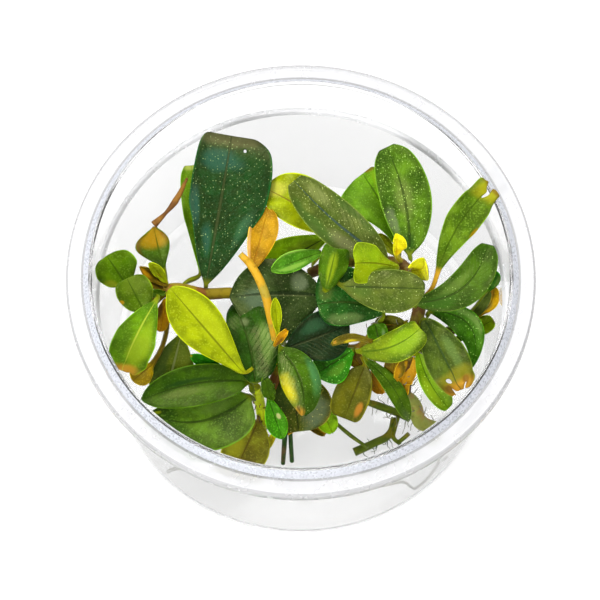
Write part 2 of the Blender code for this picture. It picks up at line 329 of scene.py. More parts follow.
def shaded_plastic(name, shade, through):
    """Plastic seen along its thickness: less light comes through, and painted shade makes it greyer."""
    made = Finish(name)
    made.set(Base_Color=(shade, shade, shade * 1.02), Transmission_Weight=through, IOR=PLASTIC_INDEX)
    made.set(Roughness=made.ramp(made.noise(300, 2), 0.3, 0.7, 0.15, 0.3))
    return made


# Painted shade: the grey of these four bands stands in for the dark that refraction gives along the
# thickness.
ledge = shaded_plastic("shaded_ledge", shade=0.90, through=0.4)
corner = shaded_plastic("shaded_corner", shade=0.36, through=0.4)
flange = shaded_plastic("shaded_flange", shade=0.5, through=0.5)
crease = shaded_plastic("shaded_crease", shade=0.28, through=0.5)
# Painted shade: the wall's base colour is darker than the clear plastic's, for the grey the wall shows.
wall = Finish("shaded_wall_plastic")
wall.set(Base_Color=(0.72, 0.72, 0.72), Transmission_Weight=0.97, IOR=PLASTIC_INDEX, Roughness=0.04)
wall.relief(wall.noise(45, 2), 0.04, 0.2)
CUP_FINISHES = [clear, frosted, ledge, corner, flange, crease, wall]
for finish in CUP_FINISHES:
    cup.data.materials.append(finish.material)
print("finishes of the cup:", len(CUP_FINISHES))

# %% [markdown]
# A band is a ring of the cup's faces. It is named by its inner and outer radius and by its lower and upper
# height, so that the faces can be picked where they lie and given their finish. The rest stays clear.

# %% Bands of the cup
LIP = (45.0, 46.25, 49.45, 50.9)
LIP_FOOT = (46.3, 46.8, 49.3, 49.45)
SHOULDER_LEDGE = (43.5, 45.4, 37.3, 38.4)
RIM_EDGE = (49.4, 49.9, 48.85, 49.25)
FLANGE_TOP = (46.8, 49.4, 49.25, 49.35)
SKIRT = (49.9, 50.1, 46.6, 48.8)
WALL_OUTSIDE = (43.2, 44.2, 5, 36)


def finish_band(band, finish):
    """The cup's faces with their middle in the band get this finish."""
    inner, outer, low, high = band
    form = edit(cup)
    bpy.ops.mesh.select_all(action="DESELECT")
    for face in form.faces:
        centre = face.calc_center_median() / MM
        radius = math.hypot(centre.x, centre.y)
        if inner < radius < outer and low < centre.z < high:
            face.select = True
    cup.active_material_index = CUP_FINISHES.index(finish)
    bpy.ops.object.material_slot_assign()
    print("faces in this band:", sum(face.select for face in form.faces))
    leave()


finish_band(LIP, frosted)
finish_band(SHOULDER_LEDGE, ledge)
finish_band(LIP_FOOT, crease)
finish_band(RIM_EDGE, corner)
finish_band(FLANGE_TOP, flange)
finish_band(SKIRT, flange)
finish_band(WALL_OUTSIDE, wall)
settle(cup, None, node="cup")

# %% [markdown]
# Stems, rhizomes and roots are round and bend. Each is a path drawn through its points, given a round
# bevel and a taper, and then turned into a mesh. A smooth curve through few points bends as a stem does.


# %% Draw a stem
CURVE_STEPS = 6
STEM_CORNER = 50
CAP_GAP = 0.001


def draw_stem(name, paths, radii, sides=3):
    """Round stems along smooth paths through their points, as thick at each point as its radius says."""
    let_go()
    bpy.ops.curve.primitive_nurbs_path_add(location=(0, 0, 0))
    piece = bpy.context.object
    piece.name = name
    curve = piece.data
    curve.splines.remove(curve.splines[0])
    for points in paths:
        path = curve.splines.new("BEZIER")
        path.bezier_points.add(len(points) - 1)
        for place, (spot, point) in enumerate(zip(path.bezier_points, points)):
            spot.co = Vector(point) * MM
            spot.radius = radii[min(place, len(radii) - 1)]
            spot.handle_left_type = "AUTO"
            spot.handle_right_type = "AUTO"
    curve.bevel_depth = 1 * MM
    curve.bevel_resolution = sides
    curve.resolution_u = CURVE_STEPS
    curve.use_fill_caps = True
    bpy.ops.object.convert(target="MESH")
    edit(piece)
    bpy.ops.mesh.select_all(action="SELECT")
    bpy.ops.mesh.remove_doubles(threshold=CAP_GAP * MM)
    bpy.ops.mesh.normals_make_consistent(inside=False)
    leave()
    bpy.ops.object.shade_smooth_by_angle(angle=math.radians(STEM_CORNER))
    return piece


# %% [markdown]
# Fresh stalks are lime or green, old ones olive, brown or yellow. A stem's finish is one colour that turns
# into another in blotches, with dark flecks and a fine uneven relief, because old bark and scars of fallen
# leaves make it rough.


# %% Stem finish
DARKER = 0.45


def scaled(colour, by, plus=(0, 0, 0), most=1.0):
    """The colour times a number, with a little of each part added, and no part over most."""
    return tuple(min(most, part * by + extra) for part, extra in zip(colour, plus))


def stem_finish(name, colour, other, share=0.5, bumps=0.6, roughness=0.55):
    """Colour and other take turns over the stem, and share is how much of it the other one takes."""
    finish = Finish(name)
    patches = finish.noise(170, 4)
    fine = finish.noise(900, 4)
    mixed = finish.blend(finish.ramp(patches, 0.62 - share * 0.3, 0.72 - share * 0.3), colour, other)
    flecks = finish.ramp(fine, 0.56, 0.7, 0, 0.6)
    finish.set(Base_Color=finish.blend(flecks, mixed, scaled(colour, DARKER)))
    finish.set(Roughness=finish.ramp(fine, 0.3, 0.7, roughness - 0.12, roughness + 0.15))
    finish.set(Specular_IOR_Level=0.15)
    finish.relief(finish.plus(fine, finish.times(patches, 0.8)), bumps, 0.35)
    return finish.material


OLD_OLIVE = stem_finish("rhizome_olive", (0.22, 0.16, 0.005), (0.18, 0.07, 0.01), 0.45)
OLD_BROWN = stem_finish("rhizome_brown", (0.10, 0.05, 0.01), (0.18, 0.15, 0.01), 0.45, 0.9)
LUMP_OLIVE = stem_finish("root_lump_olive", (0.28, 0.31, 0.05), (0.34, 0.22, 0.05), 0.4, 0.8)
# The lime stalk stands in the plant's shade, and its colour is brighter than its own: painted light.
LIME_WITH_PAINTED_LIGHT = stem_finish("stalk_lime", (0.64, 0.78, 0.006), (0.36, 0.40, 0.01), 0.4, 0.3, 0.4)
FRESH_GREEN = stem_finish("stem_green", (0.08, 0.12, 0.003), (0.16, 0.15, 0.006), 0.5, 0.5, 0.4)
OLD_YELLOW = stem_finish("stalk_yellow", (0.44, 0.24, 0.008), (0.30, 0.22, 0.02), 0.4, 0.5)
DRY_BROWN = stem_finish("dry_brown", (0.10, 0.04, 0.008), (0.18, 0.08, 0.01), 0.5, 0.9, 0.7)
ROOT_BROWN = stem_finish("root_brown", (0.02, 0.06, 0.006), (0.10, 0.06, 0.02), 0.3, 0.4, 0.6)
ROOT_GREY = stem_finish("root_grey", (0.20, 0.20, 0.14), (0.28, 0.27, 0.20), 0.4, 0.4, 0.6)
print("materials so far:", len(bpy.data.materials))

# %% [markdown]
# Three rhizomes creep among the leaves, and bare stalks, stems and a dried thread stand between them. Their
# points run from one end to the other, and each stem has a radius for every point, so that it can taper.

# %% The rhizomes, stalks and stems
STEMS = {
    "rhizome_left": [
        (-33, -3, 39), (-29, 0, 40), (-21, 0.5, 37), (-12, 1.5, 33), (-7.5, -2.5, 27), (-9.5, -13, 24),
    ],
    "rhizome_centre": [(-6.5, -15, 21), (-3, -9, 24), (4, -4.5, 24), (12, -9, 28), (17, -5.5, 32)],
    "rhizome_right": [
        (2, 8, 31), (9.5, 8.5, 36), (18, 8, 37), (22.5, 5.5, 40), (25.5, -1.5, 38), (24.5, -7, 35),
        (23, -11.5, 31), (22.5, -15.5, 20),
    ],
    "stalk_front": [(-10, -15, 21), (-9, -17, 15), (-9, -21, 7), (-11.5, -24.5, 2.5)],
    "stalk_old_yellow": [(-13, 5.5, 47), (-10.5, 3, 46), (-8, -1.5, 44), (-6.5, -6, 40), (-5.5, -9.5, 35.5)],
    "thread_dried": [(-31.5, 11.5, 49), (-29, 14, 49.5), (-27, 16.5, 50), (-24.5, 22, 50)],
    "root_rooty": [(23, -15.5, 18), (25.5, -16, 13), (26.5, -18, 8), (30.5, -18, 3)],
    "stem_green_long": [(14, -14, 10), (17.5, -14.5, 8), (22, -15.5, 6), (24.5, -16.5, 5)],
    "stem_green_cut": [(21, -16, 4.5), (20, -19.5, 3.5), (16.5, -21.5, 3), (12, -23.5, 2.5)],
    "stem_thin": [(7, -17, 6), (11, -20.5, 5.5), (15, -23.5, 5.5)],
    "stem_twin": [(-3.5, -22.5, 12), (-4, -26, 2)],
}
STEM_LOOKS = {
    "rhizome_left": ((1.3, 1.4, 1.3, 1.2, 1.3, 1.2), OLD_OLIVE),
    "rhizome_centre": ((1.2, 1.3, 1.2, 1.3, 1.1), OLD_OLIVE),
    "rhizome_right": ((1.2, 1.4, 1.4, 1.3, 1.5, 1.4, 1.5, 1.8), OLD_BROWN),
    "stalk_front": ((1.2, 1.2, 1.1, 0.9), LIME_WITH_PAINTED_LIGHT),
    "stalk_old_yellow": ((0.7, 0.9, 1.0, 1.0, 0.9), OLD_YELLOW),
    "thread_dried": ((0.85, 0.4, 0.75, 0.3), DRY_BROWN),
    "root_rooty": ((1.2, 1.3, 1.7, 1.5), LUMP_OLIVE),
    "stem_green_long": ((0.7, 0.9, 0.9, 0.8), FRESH_GREEN),
    "stem_green_cut": ((0.7, 0.9, 0.9, 1.0), FRESH_GREEN),
    "stem_thin": ((0.4, 0.5, 0.35), FRESH_GREEN),
    "stem_twin": ((0.6, 0.5), ROOT_BROWN),
}
for name, (radii, finish) in STEM_LOOKS.items():
    settle(draw_stem(name + "_drawn", [STEMS[name]], radii), finish, node=name)
print("stems drawn:", len(STEM_LOOKS))

# %% [markdown]
# A leaf is a thin blade on a stalk, with a midrib along its valley. All leaves start from one blank: a
# flat grid whose two halves are lifted from the middle line. The grid's own map then runs along and across
# the leaf, so a finish can follow the midrib. The blank is thick where the stalk will be and thin elsewhere.

# %% The leaf blank
STALK_ROWS = 3
BLADE_ROWS = 14
ROWS = STALK_ROWS + BLADE_ROWS
COLUMNS = 8
FOLD = 12.0
STALK_RADIUS = 0.5
STALK_THICKNESS, BLADE_THICKNESS = 0.95, 0.34
THINNING_ROWS = 4
let_go()
bpy.ops.mesh.primitive_grid_add(x_subdivisions=ROWS, y_subdivisions=COLUMNS, size=2 * MM, location=(0, 0, 0))
blank = bpy.context.object
blank.name = "leaf_blank"
form = edit(blank)


def row_points(form):
    """The blank's points row by row from the stalk to the tip, each row from right to left."""
    ordered = sorted(form.verts, key=lambda point: (round(point.co.x, 7), point.co.y))
    across = COLUMNS + 1
    return [ordered[start : start + across] for start in range(0, len(ordered), across)]


rows = row_points(form)
for column in range(COLUMNS + 1):
    reach = abs(column - COLUMNS / 2) / (COLUMNS / 2)
    pick(form, [row[column] for row in rows])
    lift = math.tan(math.radians(FOLD)) * reach * (0.6 + 0.4 * reach) * MM
    bpy.ops.transform.translate(value=(0, 0, lift))
leave()
thickness = blank.vertex_groups.new(name="thickness")
for place, point in enumerate(blank.data.vertices):
    row = round((point.co.x / MM + 1) / 2 * ROWS)
    share = min(1.0, max(0.0, (row - STALK_ROWS + 1) / THINNING_ROWS))
    weight = 1 - share * (1 - BLADE_THICKNESS / STALK_THICKNESS)
    thickness.add([place], weight, "REPLACE")
print("blank rows and columns:", len(rows), len(rows[0]))

# %% [markdown]
# A leaf's middle line starts on its stem, leaves it at a right angle and bends into the blade's neck, and
# from there it follows a bow to the tip. These helpers find it row by row, with the leaf's two half widths
# there, so that each blade can swell, taper, droop and lean as its own leaf does.

# %% The middle line and width of a leaf
L, C, R, S, Y = "rhizome_left", "rhizome_centre", "rhizome_right", "stalk_front", "stalk_old_yellow"
STEM_RADII = {L: 1.4, C: 1.3, R: 1.5, S: 1.2, Y: 1.0}
GAP = 0.3


def on_path(points, place):
    """A point and its direction on the smooth curve through the points, with place counted in points."""
    span = min(int(place), len(points) - 2)
    share = place - span
    start, end = Vector(points[span]), Vector(points[span + 1])
    leave_by = (end - Vector(points[max(span - 1, 0)])) / 2
    arrive_by = (Vector(points[min(span + 2, len(points) - 1)]) - start) / 2
    square, cube = share**2, share**3
    point = (2 * cube - 3 * square + 1) * start + (cube - 2 * square + share) * leave_by
    point += (3 * square - 2 * cube) * end + (cube - square) * arrive_by
    way = (6 * square - 6 * share) * (start - end) + (3 * square - 4 * share + 1) * leave_by
    return point, (way + (3 * square - 2 * share) * arrive_by).normalized()


def stations(leaf, neck, tip, across, face):
    """For each row: its middle, its direction, and its half widths to the left and right."""
    side_bow, up_bow = leaf.get("bow", (0, 0))
    control = (neck + tip) / 2 + 2 * (across * side_bow + face * up_bow)
    root, along = on_path(STEMS[leaf["on"][0]], leaf["on"][1])
    stalk = leaf.get("stalk", STALK_RADIUS)
    out = neck - root
    out = (out - along * out.dot(along)).normalized()
    start = root + out * (STEM_RADII[leaf["on"][0]] + GAP)
    arrive = (control - neck).normalized()
    reach = (neck - start).length / 3
    first, second = start + out * reach, neck - arrive * reach
    found = []
    for row in range(STALK_ROWS):
        share = row / STALK_ROWS
        rest = 1 - share
        middle = rest**3 * start + 3 * share * rest**2 * first
        middle += 3 * share**2 * rest * second + share**3 * neck
        way = rest**2 * (first - start) + 2 * share * rest * (second - first) + share**2 * (neck - second)
        found.append((middle, way.normalized(), stalk, stalk))
    power = math.log(0.5) / math.log(leaf.get("widest", 0.6))
    bend_from, bend = leaf.get("bend", (1.0, 0.0))
    for row in range(BLADE_ROWS + 1):
        share = row / BLADE_ROWS
        rest = 1 - share
        middle = rest**2 * neck + 2 * share * rest * control + share**2 * tip
        way = (rest * (control - neck) + share * (tip - control)).normalized()
        if share > bend_from:
            hinge_rest = 1 - bend_from
            hinge = hinge_rest**2 * neck + 2 * bend_from * hinge_rest * control + bend_from**2 * tip
            turn = math.radians(bend) * (share - bend_from) / hinge_rest
            middle = hinge + Matrix.Rotation(turn, 3, across) @ (middle - hinge)
        swell = max(0.0, math.sin(math.pi * share**power)) ** leaf.get("blunt", 0.7) if share else 0.0
        narrow = stalk if share < 0.5 else leaf.get("point", 0.25)
        left, right = (narrow + (half - narrow) * swell for half in leaf["halves"])
        found.append((middle, way, left, right))
    return found


# %% [markdown]
# Each leaf is a copy of the blank, shaped row by row: the halves are drawn out to the leaf's width, the
# row is turned to follow the midrib and moved onto it. It is shaped lying flat, then set in its place,
# facing the light. Ragged tips are shaken loose, and holes are cut by deleting a face. A Solidify and a
# Subdivision Surface modifier give it its thickness and round it.

# %% Shape a leaf
LIGHT = Vector((0.0, -0.39, 0.92)).normalized()
ROUNDING = 2
RIGHT_EDGE_PACE = 1.3


def shape_leaf(name, leaf):
    """A copy of the blank takes this leaf's shape and place."""
    neck, tip = Vector(leaf["neck"]), Vector(leaf["tip"])
    axis = (tip - neck).normalized()
    across = LIGHT.cross(axis).normalized()
    face = axis.cross(across)
    setting = Matrix((axis, across, face)).transposed()
    flat = setting.transposed()
    piece = blank.copy()
    piece.data = blank.data.copy()
    piece.name = name
    bpy.context.scene.collection.objects.link(piece)
    form = edit(piece)
    rise = math.tan(math.radians(leaf.get("fold", FOLD))) / math.tan(math.radians(FOLD))
    swing, count = leaf.get("wave", (0.25, 2.5))
    middle_column = COLUMNS // 2
    rows = row_points(form)
    for place, (row, station) in enumerate(zip(rows, stations(leaf, neck, tip, across, face))):
        middle, way, left, right = station
        spot = row[middle_column].co.copy()
        pick(form, row[:middle_column])
        bpy.ops.transform.resize(value=(1, right, right * rise), center_override=spot)
        pick(form, row[middle_column + 1 :])
        bpy.ops.transform.resize(value=(1, left, left * rise), center_override=spot)
        if place > STALK_ROWS + 1 and swing:
            turn = math.tau * count * place / ROWS
            pick(form, row[:1])
            bpy.ops.transform.translate(value=(0, 0, swing * math.sin(turn) * MM))
            pick(form, row[-1:])
            bpy.ops.transform.translate(value=(0, 0, swing * math.cos(turn * RIGHT_EDGE_PACE) * MM))
        pick(form, row)
        way = flat @ way
        yaw = math.atan2(way.y, way.x)
        bpy.ops.transform.rotate(value=-yaw, orient_axis="Z", center_override=spot)
        bpy.ops.transform.translate(value=(flat @ (middle - neck)) * MM - spot)
    ragged, seed = leaf.get("ragged", (0, 0))
    if ragged:
        worn = [point for row in rows[-leaf.get("ragged_rows", 3) :] for point in row]
        pick(form, worn)
        bpy.ops.transform.vertex_random(offset=ragged * MM, uniform=0.3, seed=seed)
    gone = []
    for row, column in leaf.get("cut", ()):
        corners = {rows[row][column], rows[row][column + 1], rows[row + 1][column], rows[row + 1][column + 1]}
        gone += [one for one in form.faces if set(one.verts) == corners]
    if gone:
        pick(form, [])
        bpy.context.tool_settings.mesh_select_mode = (False, False, True)
        for one in gone:
            one.select = True
        if leaf.get("hole_edge"):
            bpy.ops.mesh.inset(thickness=leaf["hole_edge"] * MM)
        bpy.ops.mesh.delete(type="FACE")
    leave()
    thick = piece.modifiers.new("thickness", "SOLIDIFY")
    thick.thickness = STALK_THICKNESS * MM * leaf.get("thick", 1.0)
    thick.offset = 0
    thick.vertex_group = "thickness"
    rounded = piece.modifiers.new("rounding", "SUBSURF")
    rounded.levels = ROUNDING
    rounded.render_levels = ROUNDING
    apply_all(piece)
    piece.matrix_world = Matrix.Translation(neck * MM) @ setting.to_4x4()
    bpy.ops.object.shade_smooth()
    return piece


# %% [markdown]
# A leaf's finish follows its map: along it from the stalk to the tip, and across it from edge to edge. The
# skin has two greens that mottle, a midrib, faint side veins, pale dots where air sits in the skin, and
# blotches where it yellows or browns, and blotches of painted sheen and highlight. Its thin edge has a
# painted glow, with painted shade in a band just inside it.

# %% Leaf finish
STALK_SHARE = STALK_ROWS / ROWS
SIDE_VEINS, VEIN_SLANT = 13.0, -9.0
MIDRIB_AT_NECK, MIDRIB_AT_TIP = 0.045, 0.012
RIM_GLOW_FROM, RIM_GLOW_TO = 0.462, 0.492
DOT_SCALE = 1900
LIGHT_THROUGH = (0.432, 0.72, 0.045)


def leaf_finish(name, skin, light, rib, stalk, blotches=(), dots=0.0, gloss=0.35, veins=0.5, glow=0.0):
    """Skin and light mottle, rib colours the midrib, and stalk the stalk.

    A blotch is how far along and across it lies, its two sizes, its colour and its strength.
    """
    finish = Finish(name)
    mapped = finish.nodes.new("ShaderNodeUVMap")
    mapped.uv_map = "UVMap"
    parts = finish.nodes.new("ShaderNodeSeparateXYZ")
    finish.join(mapped.outputs[0], parts.inputs[0])
    along = finish.maths("DIVIDE", finish.maths("SUBTRACT", parts.outputs[0], STALK_SHARE), 1 - STALK_SHARE)
    across = finish.maths("ABSOLUTE", finish.maths("SUBTRACT", parts.outputs[1], 0.5))
    soft = finish.noise(120, 3)
    fine = finish.noise(700, 4)
    patches = finish.noise(330, 3)
    grain = finish.noise(2600, 2)
    colour = finish.blend(finish.ramp(soft, 0.38, 0.62), skin, light)
    shade = scaled(skin, DARKER)
    colour = finish.blend(finish.ramp(patches, 0.40, 0.62, 0.0, 0.55), colour, shade)
    lit = scaled(light, 1.25, (0.016, 0.016, 0.016), most=0.9)
    colour = finish.blend(finish.ramp(grain, 0.52, 0.68, 0.0, 0.55), colour, lit)
    spread = finish.plus(finish.times(along, SIDE_VEINS), finish.times(across, VEIN_SLANT))
    vein = finish.ramp(finish.maths("PINGPONG", spread, 0.5), 0.0, 0.12, 1.0, 0.0)
    colour = finish.blend(finish.times(vein, 0.35 * veins), colour, scaled(skin, 0.6))
    flat = finish.nodes.new("ShaderNodeCombineXYZ")
    finish.join(along, flat.inputs[0])
    finish.join(parts.outputs[1], flat.inputs[1])
    for far, side, length, width, tone, strength in blotches:
        placed = finish.nodes.new("ShaderNodeMapping")
        placed.vector_type = "TEXTURE"
        finish.join(flat.outputs[0], placed.inputs["Vector"])
        placed.inputs["Location"].default_value = (far, side, 0)
        placed.inputs["Scale"].default_value = (length, width, 1)
        distance = finish.nodes.new("ShaderNodeVectorMath")
        distance.operation = "LENGTH"
        finish.join(placed.outputs[0], distance.inputs[0])
        uneven = finish.plus(distance.outputs["Value"], finish.ramp(soft, 0.3, 0.7, -0.25, 0.25))
        colour = finish.blend(finish.ramp(uneven, 0.35, 1.0, strength, 0.0), colour, tone)
    width = finish.ramp(along, 0.0, 1.0, MIDRIB_AT_NECK, MIDRIB_AT_TIP)
    midrib = finish.ramp(finish.maths("DIVIDE", across, width), 0.4, 1.2, 1.0, 0.0)
    colour = finish.blend(finish.times(midrib, 0.75), colour, rib)
    # Painted glow: a pale thin band along the edge, as if light shone through the thin margin.
    rim_glow = finish.ramp(across, RIM_GLOW_FROM, RIM_GLOW_TO)
    colour = finish.blend(finish.times(rim_glow, 0.6), colour, scaled(light, 2.4, most=0.8))
    # Painted shade: a darker band just inside the edge, less where the glow is.
    inside = finish.ramp(across, 0.30, 0.45, 0.0, 0.35)
    inside = finish.maths("SUBTRACT", inside, finish.times(rim_glow, 0.35))
    colour = finish.blend(inside, colour, shade)
    if dots:
        near, kind = finish.cells(DOT_SCALE)
        chosen = finish.ramp(kind, 1 - dots, 1.0 - dots * 0.6)
        dot = finish.times(finish.ramp(near, 0.14, 0.26, 1.0, 0.0), chosen)
        pale = scaled(light, 2.2, (0.25, 0.27, 0.12))
        colour = finish.blend(finish.times(dot, 0.65), colour, pale)
    colour = finish.blend(finish.ramp(along, -0.02, 0.05, 1.0, 0.0), colour, stalk)
    finish.set(Base_Color=colour, Roughness=finish.ramp(fine, 0.3, 0.7, gloss - 0.05, gloss + 0.1))
    finish.set(Specular_IOR_Level=0.16, Specular_Tint=(1.0, 1.0, 0.4))
    if glow:
        finish.set(Subsurface_Weight=glow, Subsurface_Radius=LIGHT_THROUGH, Subsurface_Scale=0.6 * MM)
    height = finish.plus(finish.times(vein, -0.35 * veins), finish.times(fine, 0.25))
    height = finish.plus(height, finish.times(midrib, -1.0))
    finish.relief(finish.plus(height, finish.times(soft, 0.8)), 0.5, 0.25)
    return finish.material


# %% [markdown]
# Young leaves are bright or lime, grown ones dark, grey or nearly blue, and old ones yellow, orange or brown.
# A skin names four colours: the leaf's own, the lighter one it mottles with, the midrib's and the stalk's.

# %% The leaves' colours
# The first two colours are painted sheen: light off the glossy skin, painted into the leaf's colour.
BLUE_SHEEN = (0.014, 0.072, 0.05)
PALE_BLUE_SHEEN = (0.094, 0.144, 0.086)
YELLOW = (0.432, 0.331, 0.002)
GOLD = (0.36, 0.173, 0.002)
TAN = (0.346, 0.173, 0.013)
BROWN = (0.115, 0.043, 0.005)
UMBER = (0.043, 0.022, 0.005)
LIME = (0.245, 0.302, 0.001)
SKIN_PARTS = ("skin", "light", "rib", "stalk")
SKIN_COLOURS = {
    "deep": ((0.003, 0.02, 0.002), (0.006, 0.036, 0.005), (0.022, 0.025, 0.004), (0.115, 0.13, 0.005)),
    "blue": ((0.009, 0.025, 0.004), (0.029, 0.047, 0.013), (0.003, 0.01, 0.003), (0.072, 0.101, 0.005)),
    "teal": ((0.001, 0.01, 0.002), (0.004, 0.019, 0.004), (0.001, 0.005, 0.001), (0.022, 0.043, 0.005)),
    "dark": ((0.013, 0.047, 0), (0.032, 0.083, 0.001), (0.009, 0.025, 0.001), (0.108, 0.144, 0.003)),
    "green": ((0.036, 0.094, 0), (0.061, 0.13, 0.001), (0.022, 0.05, 0), (0.144, 0.173, 0.003)),
    "grey": ((0.029, 0.054, 0.003), (0.061, 0.086, 0.009), (0.011, 0.025, 0.003), (0.086, 0.101, 0.005)),
    "bright": ((0.054, 0.137, 0.001), (0.086, 0.187, 0.001), (0.032, 0.079, 0.001), (0.158, 0.194, 0.003)),
    "olive": ((0.058, 0.065, 0), (0.094, 0.09, 0.001), (0.043, 0.036, 0.001), (0.158, 0.144, 0.003)),
    "lime": ((0.18, 0.223, 0), (0.245, 0.295, 0.001), (0.086, 0.094, 0.001), (0.259, 0.259, 0.004)),
    "yellow": ((0.396, 0.331, 0.002), (0.518, 0.461, 0.009), (0.324, 0.216, 0.002), (0.36, 0.302, 0.005)),
    "orange": ((0.36, 0.158, 0), (0.446, 0.223, 0.002), (0.245, 0.101, 0.001), (0.324, 0.173, 0.003)),
    "brown": ((0.101, 0.065, 0.001), (0.173, 0.115, 0.002), (0.058, 0.029, 0.001), (0.13, 0.086, 0.004)),
}
SKINS = {name: dict(zip(SKIN_PARTS, colours)) for name, colours in SKIN_COLOURS.items()}
print("skins:", ", ".join(SKINS))

# %% [markdown]
# These are the leaves. A plan gives the stem that a leaf grows from with the place there, the neck where its
# blade starts, its tip, and its half widths to the left and right, looking from neck to tip. Then comes what
# is its own: bow bends the midrib, fold lifts the halves, bend droops the end, wave ripples the edges, widest
# says where it is broadest, blunt how full its ends are, and point is the half width left at the tip. ragged
# shakes the last rows, cut names faces that are missing, and hole_edge makes such a hole smaller.


# %% The leaves' shapes
def plan(on, neck, tip, halves, **its_own):
    return dict(on=on, neck=neck, tip=tip, halves=halves, **its_own)


